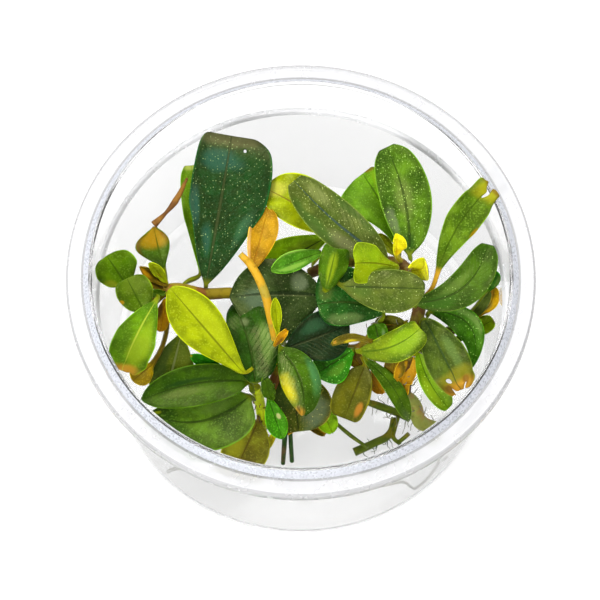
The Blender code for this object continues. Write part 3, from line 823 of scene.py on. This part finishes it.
LEAVES = {
    "round_left": plan(
        (L, 0.2), (-37.5, 0.5, 42), (-41.5, 4.5, 48.5), (4.5, 5), point=2, blunt=0.5, wave=(0.5, 2),
    ),
    "olive_left": plan(
        (L, 0), (-33.5, -6.5, 44), (-37, -1, 49), (3.8, 4.2), point=2.2, blunt=0.45, wave=(0.5, 2),
    ),
    "lime_hanging": plan(
        (L, 0.6), (-31, -5, 45.5), (-38.2, -18.5, 39.5), (4.8, 4.4), bow=(-0.5, 0.4), point=3, widest=0.65,
        blunt=0.5, ragged=(0.6, 3), fold=8, wave=(0.5, 3),
    ),
    "brown_small": plan((L, 1), (-32.5, -13.5, 30), (-36.5, -17, 30), (2.7, 2.7), blunt=0.5),
    "diamond": plan((L, 1), (-29.5, 3.5, 44), (-31.5, 11.5, 48), (5, 2.6), blunt=1.0, ragged=(0.35, 2)),
    "folded_behind": plan(
        (L, 1.5), (-21.5, 6, 36), (-24, 29.5, 41), (3, 3.5), widest=0.7, blunt=0.5, point=1.6,
    ),
    "speckled_tall": plan(
        (L, 2), (-20.5, 2, 39), (-15, 33.5, 49), (7, 10.5), widest=0.7, blunt=0.42, point=5.6, fold=5,
        bend=(0.88, 25), wave=(0.3, 1.6), cut=((15, 2),), hole_edge=0.85,
    ),
    "orange": plan((Y, 1), (-10.5, 4.5, 41), (-7, 18.5, 43), (3, 3.5), blunt=0.6),
    "lime_front": plan(
        (L, 4.5), (-12.3, -15.6, 30.5), (-28, -1.5, 45), (5.5, 5), widest=0.64, blunt=0.72, point=0.8, fold=6,
        wave=(0.25, 1.5),
    ),
    "green_glossy": plan(
        (L, 5), (-10, -16.8, 27.3), (-15, -0.8, 36.5), (4, 7), bow=(-1, 0.6), widest=0.52, blunt=0.5,
        bend=(0.6, 30), fold=10, wave=(0.5, 2),
    ),
    "double_upper": plan(
        (S, 0), (-11.5, -15.5, 26), (-34.5, -21.5, 30), (5, 4.2), bow=(-1.5, 0), widest=0.5, blunt=0.5,
        fold=18, wave=(0.4, 2.5),
    ),
    "double_lower": plan(
        (S, 0.5), (-11.5, -17.5, 22), (-33, -23.5, 27), (7, 5.4), bow=(3.5, 0), widest=0.42, blunt=0.42,
        fold=22, wave=(0.6, 2.2),
    ),
    "grey_behind": plan((L, 1.7), (-26, -7, 32), (-30, -19, 22), (5.5, 5), fold=8),
    "dark_sliver": plan((L, 4.9), (-16, -14, 27), (-24, -11.5, 31), (1.5, 1.5)),
    "brown_membrane": plan(
        (S, 1.2), (-9.5, -20, 13), (-14, -27.5, 5.5), (5.5, 5), ragged=(0.5, 5), point=3, blunt=0.35,
        stalk=0.35,
    ),
    "blue_glossy": plan(
        (C, 2.2), (5, 1, 34.5), (-15.5, 0, 36), (12, 7.5), bow=(-1, 0.8), widest=0.55, blunt=0.7, fold=-5,
        wave=(0.5, 1.5),
    ),
    "teal": plan((C, 1), (-3, -11, 34.3), (10.5, -6, 35.3), (5.2, 6), fold=4, blunt=0.55),
    "burnt_tip": plan(
        (C, 1.2), (-4.5, -12, 36), (0.5, -25, 29.5), (4.4, 4.4), bow=(2, 0.8), widest=0.5, blunt=0.65,
        fold=-12, ragged=(0.35, 7), ragged_rows=2, point=0.4,
    ),
    "grey_hanging": plan(
        (C, 1.3), (-2, -12, 21.5), (-0.5, -24, 17), (8.2, 6.5), fold=4, point=3, blunt=0.45, widest=0.55,
    ),
    "lime_back": plan(
        (R, 1.2), (11, 13, 40), (-8.5, 22.5, 45), (4.5, 7), bend=(0.75, 35), point=1.5, fold=8,
        wave=(0.6, 2.5),
    ),
    "speckled_middle": plan(
        (R, 2), (18.5, 6, 43), (-1.5, 22, 49), (5, 5), bow=(1, 0), widest=0.5, point=1.8, blunt=0.55, fold=14,
    ),
    "olive_back": plan((R, 0.7), (6, 15, 35), (-10.5, 6.5, 31), (3, 5)),
    "green_small": plan((R, 0.3), (4.5, 9.5, 39), (-6.5, 4, 41.5), (2, 2.5), fold=18),
    "lime_curled": plan(
        (R, 0.6), (5.5, -1, 43), (7.5, 5.5, 50), (3, 3.4), fold=-28, point=2.2, blunt=0.45, wave=(0.7, 2),
    ),
    "lime_folded": plan(
        (R, 2.6), (21, 4, 43), (11.5, 2, 50), (4.6, 4.4), bow=(-0.5, 0), widest=0.75, point=2.6, fold=-20,
        blunt=0.6, wave=(0.6, 2.2),
    ),
    "dark_broad": plan(
        (C, 4), (18, -4, 37.5), (3.5, -3.2, 39.5), (5.2, 8), bow=(-1.2, 0.5), blunt=0.4, widest=0.65, fold=-8,
        point=2, wave=(0.5, 2),
    ),
    "grey_green": plan((R, 1), (9, -0.5, 43.5), (26.5, -2.5, 47), (4, 5.6), fold=5, blunt=0.55, point=1),
    "teal_point": plan(
        (C, 3.8), (16, -6, 35.7), (17.3, -11.5, 34.8), (2.4, 2.2), blunt=0.6, widest=0.35, fold=22,
    ),
    "green_triangle": plan((C, 3), (11.5, -10, 30.5), (3, -15, 28.5), (4.6, 4.6), blunt=0.8, fold=8),
    "yellow_torn": plan(
        (C, 3.6), (14.5, -11, 38.5), (6.5, -12, 38.5), (1, 1), bow=(-1, 0.5), ragged=(0.3, 4),
    ),
    "olive_patched": plan(
        (C, 3.1), (14, -12.5, 27.5), (9.5, -22.8, 22), (3.8, 4.4), blunt=0.38, point=2.6, fold=4,
    ),
    "green_white_dot": plan((C, 0.2), (-7, -18.4, 22.5), (-4, -26.4, 19), (2.3, 2.5)),
    "green_low": plan((C, 2), (4, -16.5, 16), (7, -22.5, 12), (2.4, 2.4), ragged=(0.4, 8), wave=(0.5, 3)),
    "speckled_right": plan(
        (R, 3), (23.5, 8, 41.5), (18.5, 30, 49), (5.5, 6), bow=(-1.5, 0), widest=0.55, blunt=0.5, point=1.8,
        fold=8,
    ),
    "light_behind": plan(
        (R, 2.5), (21, 11.5, 38), (13.5, 27, 42), (8, 4), bow=(-1, 0), widest=0.8, blunt=0.4, point=2.5,
        fold=8,
    ),
    "olive_sliver": plan((R, 2.3), (20.5, 10.5, 36), (16.5, 15, 36), (1.5, 1.5)),
    "yellow_small": plan((R, 2.9), (20.5, 6.5, 45), (20.5, 8.5, 51), (0.8, 2.2), fold=25, wave=(0.4, 2)),
    "yellow_cup": plan(
        (R, 3.3), (24, 3, 45), (26, 3, 51), (2.6, 2.6), bow=(-1.5, 0), fold=40, wave=(0.5, 1.5), blunt=0.5,
        point=1,
    ),
    "torn_tip": plan(
        (R, 3.9), (29.5, 3, 44), (41, 19, 52.6), (3.5, 4), bow=(1.5, 0), widest=0.62, point=2.8,
        ragged=(0.7, 11), ragged_rows=3, cut=((16, 3), (16, 4), (15, 3)), fold=8, wave=(0.5, 3),
    ),
    "broad_right": plan(
        (R, 4.2), (24.5, -3, 40.5), (40, 7, 49), (3.8, 4.2), bow=(-4, 0), blunt=0.5, point=1.4, fold=10,
    ),
    "tailed": plan(
        (R, 4.5), (28, -3.5, 37), (37, -14.5, 31.5), (2.7, 3.6), bow=(5, 0.5), widest=0.45, blunt=0.95,
        point=0.25,
    ),
    "round_right": plan((R, 5.2), (41, 2.5, 35), (42.3, 5.5, 38), (2, 1.7), blunt=0.5),
    "brown_right": plan((R, 5.6), (39.5, -1.5, 31), (42, 4, 33), (1.6, 1.6), bow=(-1, 0), ragged=(0.3, 9)),
    "dark_right": plan((R, 6), (37.5, -4.5, 27), (42, -3, 31), (2, 2), point=1, blunt=0.5),
    "lime_right": plan(
        (C, 3.2), (13, -12, 35), (25.5, -10, 43), (3.2, 3.8), bow=(-1.5, 0.5), blunt=0.45, point=2, fold=-10,
        wave=(0.5, 2),
    ),
    "tan_tip": plan(
        (R, 5), (26.5, -6, 39), (34.5, -21.5, 35), (5, 4.5), blunt=0.55, point=2.4, fold=14, ragged=(0.9, 6),
        ragged_rows=3, cut=((14, 2), (16, 2), (16, 5)), wave=(0.5, 2.5),
    ),
    "light_under": plan((R, 6), (25.5, -11.5, 33), (32, -23, 29), (3, 2.2), bow=(-1, 0), blunt=0.5, point=1),
    "narrow_dark": plan((C, 3.4), (14, -13, 32), (23.5, -22.5, 20), (2, 2), bow=(1.5, 0), blunt=0.6),
}
print("leaves:", len(LEAVES))

# %% [markdown]
# These are the leaves' finishes. The first word is the skin, and each blotch then says how far along and
# across it lies, its two sizes, its colour and its strength. Painted sheen and highlights, burns and old age
# are all blotches. What a leaf has of its own, such as a gloss or pale dots, comes last.


# %% The leaves' finishes
def look(kind, *blotches, **its_own):
    return kind, blotches, its_own


LOOKS = {
    "round_left": look("green", (0.3, 0.9, 0.2, 0.2, (0.216, 0.216, 0.009), 0.5)),
    "olive_left": look(
        "green", (0.5, 0.98, 0.07, 0.1, GOLD, 0.9), (0.8, 0.4, 0.3, 0.4, (0.072, 0.115, 0.005), 0.6),
    ),
    "lime_hanging": look(
        "bright", (0.6, 0.7, 0.4, 0.35, (0.216, 0.302, 0.005), 0.6), (1.0, 0.5, 0.13, 0.9, TAN, 0.95),
        rib=(0.302, 0.36, 0.027), glow=0.25,
    ),
    "brown_small": look("brown", (0.5, 0.5, 0.4, 0.3, (0.216, 0.158, 0.013), 0.6), veins=1.0),
    "diamond": look(
        "green", (0.8, 0.5, 0.4, 0.7, GOLD, 0.55), (0.65, 1.0, 0.4, 0.14, BROWN, 0.8),
        (0.9, 0.1, 0.3, 0.2, BROWN, 0.7),
    ),
    "folded_behind": look("green", (0.98, 0.5, 0.05, 0.8, (0.288, 0.324, 0.054), 0.7)),
    # Its first four blotches are painted blue sheen.
    "speckled_tall": look(
        "deep", (0.80, 0.60, 0.09, 0.36, BLUE_SHEEN, 0.55), (0.50, 0.94, 0.14, 0.12, BLUE_SHEEN, 0.7),
        (0.27, 0.66, 0.13, 0.18, BLUE_SHEEN, 0.5), (0.40, 0.12, 0.18, 0.12, (0.029, 0.101, 0.045), 0.6),
        (1.0, 0.5, 0.10, 0.9, (0.054, 0.054, 0.02), 0.95), dots=0.6, gloss=0.3, rib=(0.022, 0.03, 0.009),
    ),
    "orange": look(
        "orange", (0.35, 0.97, 0.5, 0.14, (0.619, 0.36, 0.117), 0.85),
        (0.6, 0.4, 0.12, 0.15, (0.36, 0.187, 0.009), 0.6), glow=0.3,
    ),
    "lime_front": look("lime", (0.55, 0.35, 0.4, 0.3, (0.36, 0.42, 0.005), 0.5), glow=0.3, gloss=0.4),
    # Its first blotch is a painted highlight.
    "green_glossy": look(
        "dark", (0.72, 0.45, 0.09, 0.16, (0.22, 0.25, 0.11), 0.35),
        (0.5, 0.2, 0.3, 0.14, (0.07, 0.17, 0.015), 0.5), gloss=0.25,
    ),
    # Its first blotch is a painted sheen band.
    "double_upper": look(
        "dark", (0.55, 0.65, 0.35, 0.14, (0.108, 0.151, 0.027), 0.45),
        # Painted shade: the dark crease beside the midrib.
        (0.5, 0.4, 0.3, 0.08, (0.007, 0.036, 0.005), 0.8),
    ),
    # Its first blotch is painted sheen along the fold.
    "double_lower": look(
        "dark", (0.35, 0.3, 0.3, 0.2, (0.108, 0.194, 0.023), 0.55), (0.95, 0.3, 0.05, 0.1, LIME, 0.8),
        light=(0.065, 0.144, 0.005),
    ),
    "grey_behind": look("grey", (0.5, 0.2, 0.5, 0.2, (0.029, 0.058, 0.013), 0.6), rib=(0.187, 0.216, 0.072)),
    "dark_sliver": look("dark", (1.0, 0.5, 0.08, 0.6, YELLOW, 0.9)),
    "brown_membrane": look(
        "brown", (0.6, 0.2, 0.4, 0.3, (0.288, 0.288, 0.009), 0.7), light=(0.216, 0.173, 0.005),
    ),
    # Both blotches are painted highlights.
    "blue_glossy": look(
        "blue", (0.27, 0.28, 0.10, 0.22, (0.22, 0.27, 0.15), 0.35), (0.75, 0.55, 0.22, 0.3, PALE_BLUE_SHEEN, 0.5),
        gloss=0.22, dots=0.3,
    ),
    "teal": look("teal", (0.5, 0.75, 0.3, 0.2, (0.014, 0.058, 0.023), 0.6), gloss=0.3),
    # Its first blotch is painted blue-green sheen.
    "burnt_tip": look(
        "dark", (0.5, 0.9, 0.35, 0.22, (0.043, 0.158, 0.05), 0.7),
        (0.62, 0.06, 0.4, 0.42, (0.5, 0.42, 0.004), 0.98), (0.95, 0.2, 0.13, 0.45, TAN, 0.9),
        (0.90, 0.25, 0.07, 0.16, UMBER, 0.8), gloss=0.25, dots=0.3,
    ),
    # Its first blotch is painted pale blue sheen.
    "grey_hanging": look(
        "blue", (0.7, 0.8, 0.35, 0.25, PALE_BLUE_SHEEN, 0.6), (0.3, 0.2, 0.4, 0.3, (0.014, 0.043, 0.005), 0.7),
        dots=0.4,
    ),
    "lime_back": look(
        "lime", (0.9, 0.4, 0.15, 0.3, (0.432, 0.418, 0.054), 0.6), glow=0.25, rib=(0.144, 0.086, 0.009),
    ),
    "speckled_middle": look(
        "grey", (0.62, 0.88, 0.35, 0.18, (0.022, 0.065, 0.005), 0.8),
        (0.35, 0.75, 0.2, 0.2, (0.144, 0.144, 0.068), 0.45),
        (0.45, 0.05, 0.35, 0.16, (0.022, 0.072, 0.005), 0.7),
        (0.8, 0.3, 0.15, 0.2, (0.158, 0.18, 0.054), 0.4), dots=0.7, rib=(0.014, 0.036, 0.045),
    ),
    "olive_back": look("dark", (0.3, 0.5, 0.4, 0.6, (0.115, 0.144, 0.009), 0.6)),
    "green_small": look(
        "green", (0.5, 0.0, 0.6, 0.12, (0.245, 0.374, 0.063), 0.7),
        (0.6, 0.75, 0.4, 0.15, (0.173, 0.317, 0.036), 0.6), skin=(0.036, 0.144, 0.005),
        light=(0.072, 0.202, 0.009),
    ),
    "lime_curled": look("bright", (0.5, 0.5, 0.5, 0.2, (0.245, 0.331, 0.005), 0.6), glow=0.2),
    "lime_folded": look(
        "lime", (0.3, 0.8, 0.3, 0.4, (0.115, 0.202, 0.009), 0.7), skin=(0.187, 0.274, 0.002), glow=0.25,
    ),
    # Its first blotch is painted pale sheen.
    "dark_broad": look(
        "dark", (0.55, 0.85, 0.35, 0.16, (0.13, 0.187, 0.054), 0.45),
        (0.2, 0.4, 0.3, 0.3, (0.007, 0.036, 0.002), 0.7), (0.85, 0.3, 0.12, 0.2, (0.086, 0.13, 0.023), 0.5),
        gloss=0.25, dots=0.3, skin=(0.014, 0.058, 0.003), light=(0.029, 0.101, 0.005),
    ),
    "grey_green": look("grey", (0.2, 0.4, 0.25, 0.4, (0.043, 0.086, 0.009), 0.7), dots=0.45),
    # Its blotch is a painted glint.
    "teal_point": look("dark", (0.5, 0.8, 0.35, 0.15, (0.158, 0.245, 0.09), 0.7), gloss=0.2),
    "green_triangle": look("dark", (0.5, 0.7, 0.3, 0.12, (0.115, 0.216, 0.018), 0.4), dots=0.35),
    "yellow_torn": look("brown", (0.5, 0.9, 0.3, 0.3, YELLOW, 0.7), (0.9, 0.5, 0.1, 0.5, TAN, 0.8)),
    "olive_patched": look(
        "olive", (0.75, 0.8, 0.16, 0.13, (0.374, 0.144, 0.013), 0.85),
        (0.5, 0.98, 0.5, 0.06, (0.324, 0.302, 0.018), 0.6),
    ),
    "green_white_dot": look("dark", (0.45, 0.7, 0.08, 0.12, (0.446, 0.432, 0.162), 0.95)),
    "green_low": look("lime"),
    # Its first two blotches are painted grey and blue-grey sheen.
    "speckled_right": look(
        "dark", (0.50, 0.50, 0.35, 0.22, (0.122, 0.151, 0.036), 0.5),
        (0.30, 0.85, 0.16, 0.15, (0.144, 0.173, 0.09), 0.45),
        (0.12, 0.5, 0.10, 0.25, (0.014, 0.058, 0.005), 0.6), dots=0.75, light=(0.065, 0.144, 0.005),
    ),
    "light_behind": look(
        "bright", (1.0, 0.2, 0.05, 0.3, BROWN, 0.8), (0.6, 0.3, 0.4, 0.2, (0.216, 0.288, 0.009), 0.6),
    ),
    "olive_sliver": look("olive"),
    "yellow_small": look("yellow", (0.1, 0.5, 0.2, 0.5, GOLD, 0.6), glow=0.25),
    "yellow_cup": look("yellow", (0.05, 0.9, 0.25, 0.4, GOLD, 0.8), glow=0.25),
    "torn_tip": look(
        "green", (1.0, 0.5, 0.22, 0.8, (0.245, 0.23, 0.005), 0.8), (1.0, 0.5, 0.05, 0.8, BROWN, 0.7),
        (0.5, 0.0, 0.1, 0.1, GOLD, 0.8), stalk=(0.446, 0.245, 0.013), light=(0.115, 0.23, 0.004),
    ),
    # Its first blotch is painted sheen.
    "broad_right": look(
        "dark", (0.55, 0.7, 0.35, 0.2, (0.108, 0.173, 0.027), 0.45),
        (0.2, 0.4, 0.2, 0.3, (0.014, 0.065, 0.002), 0.7), dots=0.35,
    ),
    "tailed": look("dark", (0.4, 0.8, 0.3, 0.15, (0.086, 0.173, 0.027), 0.6), dots=0.4),
    "round_right": look("dark", (0.5, 0.1, 0.4, 0.15, (0.101, 0.187, 0.027), 0.6)),
    "brown_right": look(
        "brown", (0.3, 0.5, 0.3, 0.4, (0.36, 0.288, 0.045), 0.8), (0.8, 0.6, 0.3, 0.3, TAN, 0.7),
    ),
    "dark_right": look("dark", (1.0, 0.3, 0.15, 0.4, (0.072, 0.05, 0.009), 0.8)),
    "lime_right": look(
        "bright", (0.7, 0.5, 0.4, 0.4, (0.2, 0.34, 0.004), 0.6), light=(0.18, 0.3, 0.003), glow=0.15,
    ),
    "tan_tip": look(
        "dark", (0.5, 0.72, 0.3, 0.16, (0.115, 0.202, 0.045), 0.35),
        (0.80, 0.5, 0.14, 0.9, (0.158, 0.144, 0.005), 0.7), (1.0, 0.5, 0.17, 0.9, TAN, 0.97),
        (0.93, 0.2, 0.08, 0.15, UMBER, 0.7), (0.9, 0.75, 0.07, 0.12, BROWN, 0.7), light=(0.065, 0.122, 0.005),
        rib=(0.014, 0.036, 0.009),
    ),
    "light_under": look("bright", (0.6, 0.3, 0.4, 0.3, (0.245, 0.36, 0.009), 0.6), dots=0.35),
    "narrow_dark": look("dark", (1.0, 0.5, 0.25, 0.7, (0.072, 0.108, 0.036), 0.7), dots=0.3),
}

print("leaves with a finish:", len(LOOKS))

# %% [markdown]
# No two leaves of one skin are quite the same shade. A tone says how much redder and how much greener a leaf
# is than its skin. Tones also carry painted light: leaves that lie in the plant's shade are made much
# brighter, and the most lit ones a little darker. The leaves that aren't listed share one tone.

# %% How much redder and greener a leaf is than its skin, with painted light
COMMON_TONE = (1.1, 1.1)
TONES_AND_PAINTED_LIGHT = {
    "blue_glossy": (1.2, 1.2), "brown_right": (4.0, 3.4), "brown_small": (2.3, 2.3),
    "brown_membrane": (1.0, 1.3), "dark_broad": (0.3, 0.75), "dark_right": (6.5, 4.0),
    "dark_sliver": (0.5, 2.8), "diamond": (0.55, 0.6), "double_upper": (1.2, 1.2),
    "folded_behind": (1.4, 1.4), "green_glossy": (0.35, 0.62), "green_low": (1.1, 1.9),
    "green_triangle": (0.7, 2.6), "green_white_dot": (2.4, 4.2), "grey_behind": (2.2, 2.0),
    "grey_hanging": (6.0, 3.2), "light_behind": (1.4, 1.55), "light_under": (1.9, 1.7),
    "lime_curled": (0.7, 0.75), "lime_folded": (0.9, 1.0), "lime_right": (0.9, 0.75),
    "narrow_dark": (1.9, 1.6), "olive_back": (7.5, 5.5), "olive_left": (1.2, 0.95),
    "olive_sliver": (3.4, 3.8), "orange": (0.85, 0.9), "round_left": (1.3, 1.2), "round_right": (0.6, 2.0),
    "speckled_tall": (0.15, 0.95), "tailed": (1.4, 2.0), "tan_tip": (0.85, 0.75), "teal": (0.15, 0.85),
    "teal_point": (1.5, 1.9), "torn_tip": (0.85, 0.8), "yellow_cup": (1.15, 1.3), "yellow_small": (1.6, 1.6),
    "yellow_torn": (0.6, 0.7),
}


def toned(colour, tone):
    """The colour with its red and green changed by the tone."""
    return (min(0.9, colour[0] * tone[0]), min(0.9, colour[1] * tone[1]), colour[2])


for name, leaf in LEAVES.items():
    skin_name, blotches, changes = LOOKS[name]
    given = {**SKINS[skin_name], **changes}
    for part in ("skin", "light"):
        given[part] = toned(given[part], TONES_AND_PAINTED_LIGHT.get(name, COMMON_TONE))
    node = "leaf_" + name
    piece = shape_leaf(node + "_shaped", leaf)
    settle(piece, leaf_finish(node, blotches=blotches, **given), node=node)
print("leaves shaped:", len(LEAVES))

# %% [markdown]
# A bunch like this one sheds papery bracts and scraps of leaf. They are small leaves of the same blank, with
# a thin stalk and a thin blade, and most are folded more. Brown and orange ones are worn.

# %% Bracts and scraps
SCRAP_STALK, SCRAP_THICKNESS = 0.35, 0.6
WORN = ((0.3, 0.2, 0.4, 0.3, UMBER, 0.8), (0.8, 0.7, 0.3, 0.3, GOLD, 0.8))
SLOTS = {"grey": "leaf_grey_green", "bright": "leaf_green"}
SCRAPS = {
    "bract_papery": ("brown", plan(
        (L, 1), (-29, 0.5, 42), (-34.5, 3, 46), (1.3, 1.0), fold=35, ragged=(0.4, 21),
    )),
    "bract_papery_low": ("brown", plan(
        (L, 0.9), (-29.5, -0.5, 41.5), (-33.5, 1, 43.5), (0.9, 1.1), fold=30, ragged=(0.35, 22),
    )),
    "bract_fresh": ("lime", plan((L, 1), (-29, 1, 42.5), (-32.5, 3.5, 47), (1.0, 1.4), fold=30)),
    "bract_small": ("green", plan((L, 0.9), (-29, -1, 41), (-33, -2, 43), (0.9, 0.9), fold=20)),
    "bract_orange": ("orange", plan(
        (L, 0.9), (-29.5, -2.5, 40), (-30.2, -8, 36), (1.6, 1.8), fold=15, ragged=(0.4, 23),
    )),
    "stalk_sheath": ("lime", plan((Y, 4), (-5, -9.5, 40), (-5.5, -4, 45.5), (1.2, 1.2), fold=45, thick=0.5)),
    "stalk_scrap": ("orange", plan(
        (Y, 4), (-5.5, -12, 38.5), (-3, -10, 42), (0.9, 0.9), fold=30, ragged=(0.3, 24),
    )),
    "strip_yellow": ("yellow", plan(
        (S, 1), (-5, -22, 14), (-8.5, -25, 6), (0.9, 0.9), fold=20, ragged=(0.3, 25),
    )),
    "leaf_crinkled": ("green", plan(
        (S, 0), (-8, -15, 29), (-6.5, -19, 23.5), (1.5, 1.6), wave=(0.6, 4), ragged=(0.4, 26),
    )),
    "curl_brown": ("brown", plan(
        (C, 0.6), (0.5, -20, 13), (5.5, -22.5, 11), (1.2, 1.0), fold=35, ragged=(0.4, 27),
    )),
    "curl_brown_left": ("orange", plan(
        (C, 0.5), (0.5, -20, 13), (-3.5, -22, 11), (1.0, 1.0), fold=30, ragged=(0.4, 28),
    )),
    "leaf_narrow_grey": ("grey", plan((R, 6), (36, -4, 33), (41, 1, 37), (1.0, 1.0), fold=25, bow=(-0.8, 0))),
    "leaf_scrap_green": ("bright", plan((R, 5.5), (32.5, -9.5, 33), (36, -8, 35), (0.8, 0.8), fold=15)),
    "scrap_dark": ("brown", plan(
        (R, 5), (21, -10.5, 33.5), (19.8, -15, 27), (2.6, 2.2), fold=20, ragged=(0.6, 31), blunt=0.4,
    )),
    "scrap_middle": ("orange", plan(
        (R, 5.5), (24.5, -11, 32), (22, -16.5, 26.5), (2.2, 2.6), fold=18, ragged=(0.6, 32), blunt=0.4,
    )),
    "scrap_hanging": ("orange", plan(
        (R, 6), (22.5, -14, 28), (20.5, -18.5, 22), (2.4, 2.0), fold=22, ragged=(0.6, 33), blunt=0.4,
    )),
    "sheath_behind": ("brown", plan(
        (R, 4.8), (22, -6.5, 34), (15, -8.5, 31), (2.6, 2.6), fold=15, ragged=(0.5, 34), blunt=0.4,
    )),
    "sheath_green": ("olive", plan(
        (R, 4.8), (22.5, -5.5, 35), (16, -5.5, 33), (1.8, 2.2), fold=15, blunt=0.4,
    )),
    "scrap_behind": ("brown", plan(
        (C, 3.5), (14, -13, 26), (10, -9.5, 29.5), (1.8, 1.8), fold=10, ragged=(0.4, 29),
    )),
    "scrap_low": ("orange", plan(
        (C, 3.5), (14.5, -12.5, 24.5), (18, -16, 19.5), (1.8, 1.6), fold=10, ragged=(0.4, 30),
    )),
}
for name, (skin_name, scrap) in SCRAPS.items():
    scrap = {"thick": SCRAP_THICKNESS, "stalk": SCRAP_STALK, **scrap}
    marks = WORN if skin_name in ("brown", "orange") else ()
    slot = SLOTS.get(skin_name, "leaf_" + skin_name)
    settle(shape_leaf(name, scrap), leaf_finish(name, blotches=marks, **SKINS[skin_name]))
print("bracts and scraps:", len(SCRAPS))

# %% [markdown]
# Roots are drawn like the stems, only finer. Three lie along the cup's front wall. The fork of a cut stem
# and the second of two dark stems are drawn with them.

# %% Roots and forks
ROOT_PATHS = {
    "root_on_wall": (
        [
            (17.5, -37.5, 21), (20, -36.5, 20), (22, -35, 16.5), (24.5, -33, 7), (25.8, -31.2, 2.4),
            (27.2, -30, 2.2), (29, -28.2, 3), (30.4, -28, 13.5),
        ],
        0.3, ROOT_GREY, "rhizome_olive",
    ),
    "root_on_wall_right": (
        [(32, -26.5, 9), (31.8, -25.6, 5), (31.5, -25, 2.2)],
        0.28, ROOT_GREY, "rhizome_olive",
    ),
    "root_on_wall_left": (
        [(-29.3, -27.8, 3), (-28, -30.5, 12), (-24.8, -34, 23.5)],
        0.45, ROOT_GREY, "rhizome_olive",
    ),
    "stem_fork": (
        [(21.8, -16.6, 6.5), (21, -19, 4.8), (20.8, -20.5, 4), (22.3, -21.6, 2.8)],
        0.5, FRESH_GREEN, "stem_green",
    ),
    "stem_fork_tip": ([(21.9, -21.3, 3), (23, -20.8, 4), (24.2, -20, 5)], 0.5, FRESH_GREEN, "stem_green"),
    "stem_second": ([(-2.4, -21.5, 12), (-2.2, -23.5, 7), (-2, -25.5, 2)], 0.5, ROOT_BROWN, "rhizome_brown"),
}
for name, (points, radius, finish, slot) in ROOT_PATHS.items():
    settle(draw_stem(name, [points], [radius]), finish)
print("roots and forks:", len(ROOT_PATHS))

# %% [markdown]
# Root hairs stand in tufts. A tuft's hairs start along a stem and straggle out and down in a few kinked
# steps and stay above the cup's floor, so a loop with a fixed seed draws them, each tuft as one piece.

# %% Root hairs
LOWEST = 1.5
HAIR_STEPS = 4
THIN_STEM = 1.3
SEED = 11
random.seed(SEED)


def root_hairs(name, stem, start, end, count, length, radius, finish):
    """Fine roots that start on a stem between two places on it."""
    paths = []
    for _ in range(count):
        point, along = on_path(STEMS[stem], random.uniform(start, end))
        out = Vector((random.uniform(-1, 1), random.uniform(-1, 0.6), random.uniform(-0.9, 0.3)))
        out = (out - along * out.dot(along)).normalized()
        point = point + out * STEM_RADII.get(stem, THIN_STEM) * 0.7
        points = [point]
        for _ in range(HAIR_STEPS):
            out = (out + Vector([random.uniform(-0.7, 0.7) for _ in range(3)])).normalized()
            point = point + out * length / HAIR_STEPS
            point.z = max(point.z, LOWEST)
            points.append(point)
        paths.append(points)
    settle(draw_stem(name, paths, [radius, radius, radius * 0.6], sides=1), finish)
    print(name, "hairs:", count)


root_hairs("hairs_on_front_stalk", S, 0.6, 2.9, 26, 3.0, 0.13, DRY_BROWN)
root_hairs("hairs_on_right_rhizome", R, 5.2, 7.0, 26, 4.5, 0.13, ROOT_GREY)
root_hairs("hairs_on_root_lump", "root_rooty", 0.2, 2.9, 18, 2.6, 0.12, ROOT_GREY)
root_hairs("hairs_on_cut_stem", "stem_green_cut", 1.0, 2.6, 12, 2.4, 0.1, ROOT_BROWN)
root_hairs("hairs_on_left_rhizome", L, 3.2, 4.9, 12, 3.0, 0.12, DRY_BROWN)
root_hairs("hairs_on_long_stem", "stem_green_long", 0.8, 2.9, 10, 3.0, 0.12, ROOT_GREY)
root_hairs("hairs_on_centre_rhizome", C, 2.6, 3.8, 14, 3.0, 0.12, DRY_BROWN)

# %% [markdown]
# The blank is no piece of the plant, so it goes, and the scene is finished.

# %% Finish
take(blank)
bpy.ops.object.delete()
